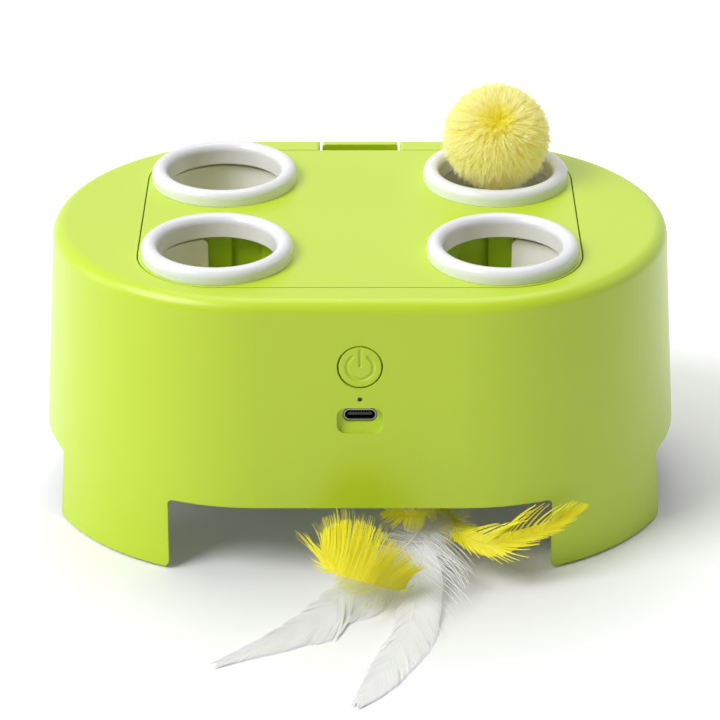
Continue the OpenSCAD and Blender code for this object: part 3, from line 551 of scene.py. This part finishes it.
def quill(shaft, thick, thin):
    """A flat oval shaft that tapers, and a pale tone for its points."""
    t = np.linspace(0, 1, 70)
    place, v, side, up = frame_along(shaft, t, [(0.1, -0.3, 1)])
    radius = (thick + (thin - thick) * t ** 0.7)[:, None]
    turn = 8
    points = np.stack([place + radius * (math.cos(a) * side + 0.35 * math.sin(a) * up)
                       for a in np.linspace(0, 2 * math.pi, turn, endpoint=False)], 1).reshape(-1, 3)
    return points, np.array(tube_faces(0, turn, len(t))), np.full(len(points), 0.8)


def feather_finish(name, deep, pale, through):
    made, shader, place = start_finish(name)
    streak = place.grain(900.0, 2.0)
    patch = place.grain(60.0, 2.0)
    tone = place.node("Attribute", {"attribute_name": "barb_tone"}, {}, 2)
    dye = (0.5 * streak + 0.5 * patch + 0.6 * tone).mix(deep, pale)
    set_shader(place, shader, Base_Color=dye, Roughness=0.5 + 0.12 * streak)
    light_through(place, shader, through, 0.25)
    return made


def feather(name, node, shaft, face, sides, made, seed, thick):
    """A feather in place of a CAD node: a quill through points in millimetres, and rows of barbs."""
    rng = np.random.default_rng(seed)
    shaft = np.array(shaft) * 0.001
    points, faces, tones, count = [], [], [], 0
    quill_tip = 0.00008
    rows = [quill(shaft, thick, quill_tip)] + [barbs(shaft, face, rng=rng, **side) for side in sides]
    for p, f, tone in rows:
        points.append(p)
        tones.append(tone)
        faces += (f + count).tolist()
        count += len(p)
    mesh = build_mesh(name, np.concatenate(points), [tuple(f) for f in faces], made)
    barb_tone = mesh.attributes.new("barb_tone", "FLOAT", "POINT")
    barb_tone.data.foreach_set("value", np.concatenate(tones))
    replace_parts(add_piece(name, mesh, "feather_rotor"), node)


white_vane = feather_finish("white_feather", deep=(0.935, 0.935, 0.96), pale=(1.0, 1.0, 1.0),
                            through=(0.965, 0.965, 0.978))
yellow_vane = feather_finish("yellow_feather", deep=(0.90, 0.81, 0.004), pale=(1.0, 0.97, 0.045),
                             through=(0.94, 0.875, 0.018))

feather("feather_white_long_barbs", "feather_white_long",
        [(19.66, -41.03, 12.7), (22.25, -46.44, 12.7), (20.6, -53.4, 11.6), (17.8, -59.5, 9.6),
         (16.5, -68.1, 6), (15.5, -76.5, 3.8), (13.5, -91.2, 1.8), (8.9, -106.2, 1.2), (4.1, -119, 1.0),
         (-0.5, -129.2, 0.9)],
        face=[(0, -0.2, 1)], sides=[
            dict(sign=-1, span=(0.13, 0.40), length=[0.010, 0.017, 0.021, 0.018], lean=[95, 75, 52],
                 bend=[14, 20, 26], lift=[0.12, 0.04, -0.02], gap=0.00030, wide=0.00022, loose=1.0),
            dict(sign=1, span=(0.13, 0.40), length=[0.011, 0.015, 0.014, 0.009], lean=[112, 96, 66],
                 bend=[10, 18, 28], lift=[0.34, 0.24, 0.05], gap=0.00026, wide=0.00022, loose=1.0),
            dict(sign=-1, span=(0.09, 0.28), length=[0.008, 0.011, 0.010], lean=[100, 84, 62],
                 bend=[-10, 8, 16], lift=[0.55, 0.42, 0.25], gap=0.00016, wide=0.00020, loose=1.7),
            dict(sign=1, span=(0.09, 0.30), length=[0.007, 0.010, 0.010], lean=[96, 80, 60],
                 bend=[-10, 8, 16], lift=[0.55, 0.42, 0.25], gap=0.00016, wide=0.00020, loose=1.7),
            dict(sign=1, span=(0.37, 0.50), length=[0.008, 0.0095, 0.009], lean=[86, 72, 60],
                 bend=[10, 14, 18], lift=[0.10, 0.05], gap=0.00038, wide=0.00030, loose=0.3, split=0.4,
                 ragged=1.2, cling=0.75),
            dict(sign=-1, span=(0.34, 0.62), length=[0.0175, 0.0185, 0.0180, 0.0165],
                 lean=[70, 58, 48, 42], bend=[24, 26, 26], lift=[0.16, 0.08, 0.0], gap=0.00055,
                 wide=0.00026, loose=0.35, split=0.5, ragged=1.0, taper=1.2, cling=0.4),
            dict(sign=-1, span=(0.33, 0.995),
                 length=[0.010, 0.0125, 0.0140, 0.0145, 0.0130, 0.009, 0.003],
                 lean=[52, 46, 42, 38, 32, 22], bend=[26, 24, 22, 18, 14], lift=[-0.04, -0.03, 0.0],
                 gap=0.00020, wide=0.00046, loose=0.12, split=0.06, ragged=0.18, taper=2.6, cling=0.06),
            dict(sign=1, span=(0.36, 0.995), length=[0.009, 0.0085, 0.009, 0.010, 0.0095, 0.007, 0.003],
                 lean=[52, 44, 40, 36, 30, 22], bend=[24, 22, 20, 16, 14], lift=[0.0, -0.02, 0.0],
                 gap=0.00020, wide=0.00046, loose=0.12, split=0.08, ragged=0.2, taper=2.6, cling=0.2)],
        made=white_vane, seed=11, thick=0.00042)

feather("feather_white_side_barbs", "feather_white_side",
        [(18.58, -41.55, 13.5), (21.17, -46.96, 13.5), (17.6, -55, 12), (12.3, -62.5, 9),
         (5.4, -68.9, 5.8), (-1.3, -74.4, 4.2), (-6.9, -81.4, 3.2), (-12, -87.2, 1.9),
         (-21.5, -96.8, 1.2), (-37.5, -110.1, 0.9)],
        face=[(0.2, -0.3, 1)], sides=[
            dict(sign=-1, span=(0.20, 0.46), length=[0.008, 0.013, 0.016, 0.016], lean=[90, 75, 60],
                 bend=[20, 25, 30], lift=[0.0, -0.05], gap=0.00042, wide=0.00022, loose=0.9),
            dict(sign=1, span=(0.26, 0.50), length=[0.006, 0.009, 0.009], lean=[85, 70, 50],
                 bend=[20, 25, 25], lift=[0.1, 0.0], gap=0.00042, wide=0.00022, loose=0.9),
            dict(sign=-1, span=(0.42, 0.995),
                 length=[0.019, 0.0205, 0.0195, 0.0175, 0.0145, 0.010, 0.003],
                 lean=[55, 46, 42, 36, 30, 20], bend=[28, 24, 20, 16, 12], lift=[-0.02, 0.0],
                 gap=0.00020, wide=0.00046, loose=0.12, split=0.06, ragged=0.15, taper=2.6, cling=0.06),
            dict(sign=1, span=(0.46, 0.995), length=[0.008, 0.008, 0.0085, 0.008, 0.006, 0.003],
                 lean=[46, 40, 36, 30, 20], bend=[22, 20, 16, 12], lift=[0.02, 0.0], gap=0.00020,
                 wide=0.00046, loose=0.12, split=0.06, ragged=0.15, taper=2.6, cling=0.12)],
        made=white_vane, seed=12, thick=0.00036)

feather("feather_yellow_left_barbs", "feather_yellow_left",
        [(18.85, -41.42, 15), (21.44, -46.83, 15), (19.6, -57, 8.0), (16.5, -70, 3.8),
         (11.2, -80.4, 6.0), (4, -85.4, 10.4), (-3.5, -83.9, 11.9), (-8.2, -80.8, 12.5),
         (-10.4, -78.6, 13.4)],
        face=[(-0.1, -1, 0.3)], sides=[
            dict(sign=1, span=(0.48, 0.995),
                 length=[0.006, 0.0095, 0.0125, 0.0160, 0.0162, 0.0140, 0.0115, 0.008],
                 lean=[112, 106, 101, 96, 84, 60], bend=[-30, -18, -2, 10, 24, 30],
                 lift=[0.16, 0.10, 0.04], gap=0.00008, wide=0.00038, loose=0.3, split=0.16, ragged=0.4,
                 taper=1.6, cling=0.12),
            dict(sign=1, span=(0.48, 0.995),
                 length=[0.008, 0.0115, 0.0145, 0.0178, 0.0182, 0.0165, 0.0140, 0.0110],
                 lean=[116, 108, 102, 96, 82, 54], bend=[-36, -20, -4, 12, 28, 36],
                 lift=[0.20, 0.14, 0.06], gap=0.00016, wide=0.00020, loose=0.6, split=0.4, ragged=0.7,
                 taper=1.1, cling=0.18),
            dict(sign=1, span=(0.80, 0.998), length=[0.009, 0.0105, 0.0115, 0.0105],
                 lean=[50, 36, 22, 8], bend=[24, 20, 10], lift=[0.10, 0.05], gap=0.00020, wide=0.00026,
                 loose=0.5, split=0.5, ragged=1.2, taper=1.1, cling=0.35),
            dict(sign=-1, span=(0.42, 0.96), length=[0.008, 0.009, 0.006, 0.004, 0.005],
                 lean=[80, 64, 50, 36, 24], bend=[20, 20, 16], lift=[0.05, 0.0], gap=0.00050,
                 wide=0.00018, loose=0.9)],
        made=yellow_vane, seed=13, thick=0.00022)

feather("feather_yellow_right_barbs", "feather_yellow_right",
        [(20.74, -40.51, 13.6), (23.33, -45.92, 13.6), (25.4, -53, 13.2), (28, -60.6, 12.4),
         (34, -65.4, 12), (39.7, -66, 13), (50.8, -64.5, 16), (57.1, -61.5, 18), (62.3, -59.5, 20)],
        face=[(0.1, -0.9, 0.6)], sides=[
            dict(sign=-1, span=(0.14, 0.36), length=[0.004, 0.006, 0.006], lean=[80, 70, 60],
                 bend=[20, 20], lift=[0.15, 0.1], gap=0.00036, wide=0.00022, loose=1.0),
            dict(sign=1, span=(0.14, 0.36), length=[0.004, 0.006, 0.007], lean=[80, 66, 50],
                 bend=[20, 16], lift=[0.15, 0.1], gap=0.00036, wide=0.00022, loose=1.0),
            dict(sign=-1, span=(0.26, 0.995),
                 length=[0.0016, 0.0034, 0.0036, 0.0034, 0.0030, 0.0024, 0.001],
                 lean=[64, 56, 48, 40, 30, 14], bend=[14, 16, 14, 10, 6], lift=[0.08, 0.05, 0.0],
                 gap=0.00018, wide=0.00044, loose=0.15, split=0.2, ragged=0.6, taper=2.2, cling=0.2),
            dict(sign=-1, span=(0.24, 0.97),
                 length=[0.003, 0.0090, 0.0135, 0.0135, 0.0105, 0.0065, 0.002],
                 lean=[66, 58, 50, 40, 30, 16], bend=[18, 24, 24, 16, 8], lift=[0.10, 0.06, 0.0],
                 gap=0.00120, wide=0.00075, loose=0.25, split=0.9, ragged=1.0, taper=1.0, cling=0.0),
            dict(sign=1, span=(0.32, 0.995),
                 length=[0.004, 0.0055, 0.0060, 0.0052, 0.0040, 0.003, 0.001],
                 lean=[42, 36, 30, 25, 18, 10], bend=[4, 6, 8, 6, 4], lift=[0.05, 0.03, 0.0],
                 gap=0.00018, wide=0.00044, loose=0.15, split=0.2, ragged=0.6, taper=2.2, cling=0.2),
            dict(sign=1, span=(0.30, 0.95),
                 length=[0.006, 0.0105, 0.0125, 0.0115, 0.009, 0.0055, 0.002],
                 lean=[30, 22, 17, 14, 10, 6], bend=[16, 18, 14, 8, 4], lift=[0.05, 0.03, 0.0],
                 gap=0.00110, wide=0.00070, loose=0.35, split=0.9, ragged=1.0, taper=1.0, cling=0.0)],
        made=yellow_vane, seed=14, thick=0.0004)

feather("feather_yellow_small_barbs", "feather_yellow_small",
        [(20.2, -40.77, 15.2), (22.79, -46.18, 15.2), (21.6, -53, 17), (18.4, -57.2, 17.4),
         (15.2, -58.6, 16.6), (12.0, -58.4, 16.6), (9.0, -57.8, 17), (7.2, -57, 17.4)],
        face=[(0, -1, 0.4)], sides=[
            dict(sign=-1, span=(0.26, 0.99), length=[0.003, 0.0042, 0.0046, 0.0038, 0.0025],
                 lean=[95, 80, 64, 40], bend=[10, 14, 16], lift=[0.15, 0.1], gap=0.00034, wide=0.00034,
                 loose=0.9),
            dict(sign=1, span=(0.26, 0.99), length=[0.003, 0.0036, 0.0036, 0.003, 0.002],
                 lean=[85, 70, 56, 36], bend=[14, 16, 16], lift=[0.1, 0.05], gap=0.00034, wide=0.00034,
                 loose=0.9)],
        made=yellow_vane, seed=15, thick=0.0003)


# Studio floor, light and camera.
# A seamless white floor that keeps the contact shadow, a large soft light high on the left, and weaker
# ones overhead, on the right and low on the left. The camera looks down on the toy through a long lens.
def plain_view(tree):
    """1 for a ray from the camera, or from metal or glass that shows the background, and else 0."""
    path = tree.nodes.new("ShaderNodeLightPath")
    kinds = ("Is Camera Ray", "Is Glossy Ray", "Is Transmission Ray")
    rays = [Wire(tree, path.outputs[kind]) for kind in kinds]
    return rays[0].math("MINIMUM", rays[0] + rays[1] + rays[2], 1.0)


def studio_floor():
    made, shader, place = start_finish("studio_floor")
    paper = place.grain(300.0, 2.0)
    set_shader(place, shader, Base_Color=paper.mix((0.895, 0.895, 0.92), (0.915, 0.915, 0.94)))
    shader.inputs["Roughness"].default_value = 0.9
    shader.inputs["Specular IOR Level"].default_value = 0.0
    # Painted light: the floor glows for camera and glossy rays, faintly near the toy and brightly away
    # from it, so the shadow further out is painted lighter.
    painted_shade_middle = (0.010, -0.035, 0)
    aside = place.node("VectorMath", {"operation": "SUBTRACT"}, {0: place, 1: painted_shade_middle})
    far = aside.node("VectorMath", {"operation": "LENGTH"}, {0: aside}, 1).above(0.113, 0.065)
    painted_floor_light = far.mix((0.03, 0.03, 0.03), (0.43, 0.43, 0.43))
    set_shader(place, shader, Emission_Color=painted_floor_light, Emission_Strength=plain_view(place.tree))
    corners_of_floor = [(-4, -3, 0), (4, -3, 0), (4, 6, 0), (-4, 6, 0)]
    mesh = build_mesh("studio_floor", corners_of_floor, [(0, 1, 2, 3)], made, smooth=False)
    floor = bpy.data.objects.new("studio_floor", mesh)
    bpy.context.scene.collection.objects.link(floor)


studio_floor()


def soft_light(name, place, size, watts):
    """A round area light that looks at the middle of the toy."""
    data = bpy.data.lights.new(name, "AREA")
    data.shape, data.size, data.energy = "DISK", size, watts
    light = bpy.data.objects.new(name, data)
    bpy.context.scene.collection.objects.link(light)
    light.location = place
    toy_middle = np.array([0, 0, 0.05])
    way = toy_middle - np.array(place)
    flat = math.hypot(way[0], way[1])
    light.rotation_euler = (math.atan2(flat, -way[2]), 0, math.atan2(-way[0], way[1]))


soft_light("left_key", (-1.86, -0.9, 2.2), 1.7, 67.0)
soft_light("right_fill", (2.4, 0.5, 1.7), 1.8, 6.5)
soft_light("left_card", (-2.3, 0.2, 0.6), 1.2, 7.0)
soft_light("top_soft", (0.1, 0.9, 2.8), 2.4, 30.5)

world = bpy.data.worlds.new("studio")
bpy.context.scene.world = world
world.use_nodes = True
sky = world.node_tree.nodes["Background"]
sky.inputs["Color"].default_value = (1, 1, 1, 1)
plain = plain_view(world.node_tree)
sky_light = 0.13
plain.feed(sky.inputs["Strength"], sky_light + (1 - sky_light) * plain)

tilt, camera_reach, aim_height = math.radians(26.03), 0.9208, 0.0360
camera = bpy.data.objects.new("camera", bpy.data.cameras.new("camera"))
bpy.context.scene.collection.objects.link(camera)
camera.data.lens, camera.data.sensor_width = 158.9, 36.0
camera.data.clip_end = 20.0
camera.location = (0, -camera_reach * math.cos(tilt), aim_height + camera_reach * math.sin(tilt))
camera.rotation_euler = (math.pi / 2 - tilt, 0, 0)
bpy.context.scene.camera = camera
bpy.context.scene.view_settings.view_transform = "Standard"

bpy.context.view_layer.update()
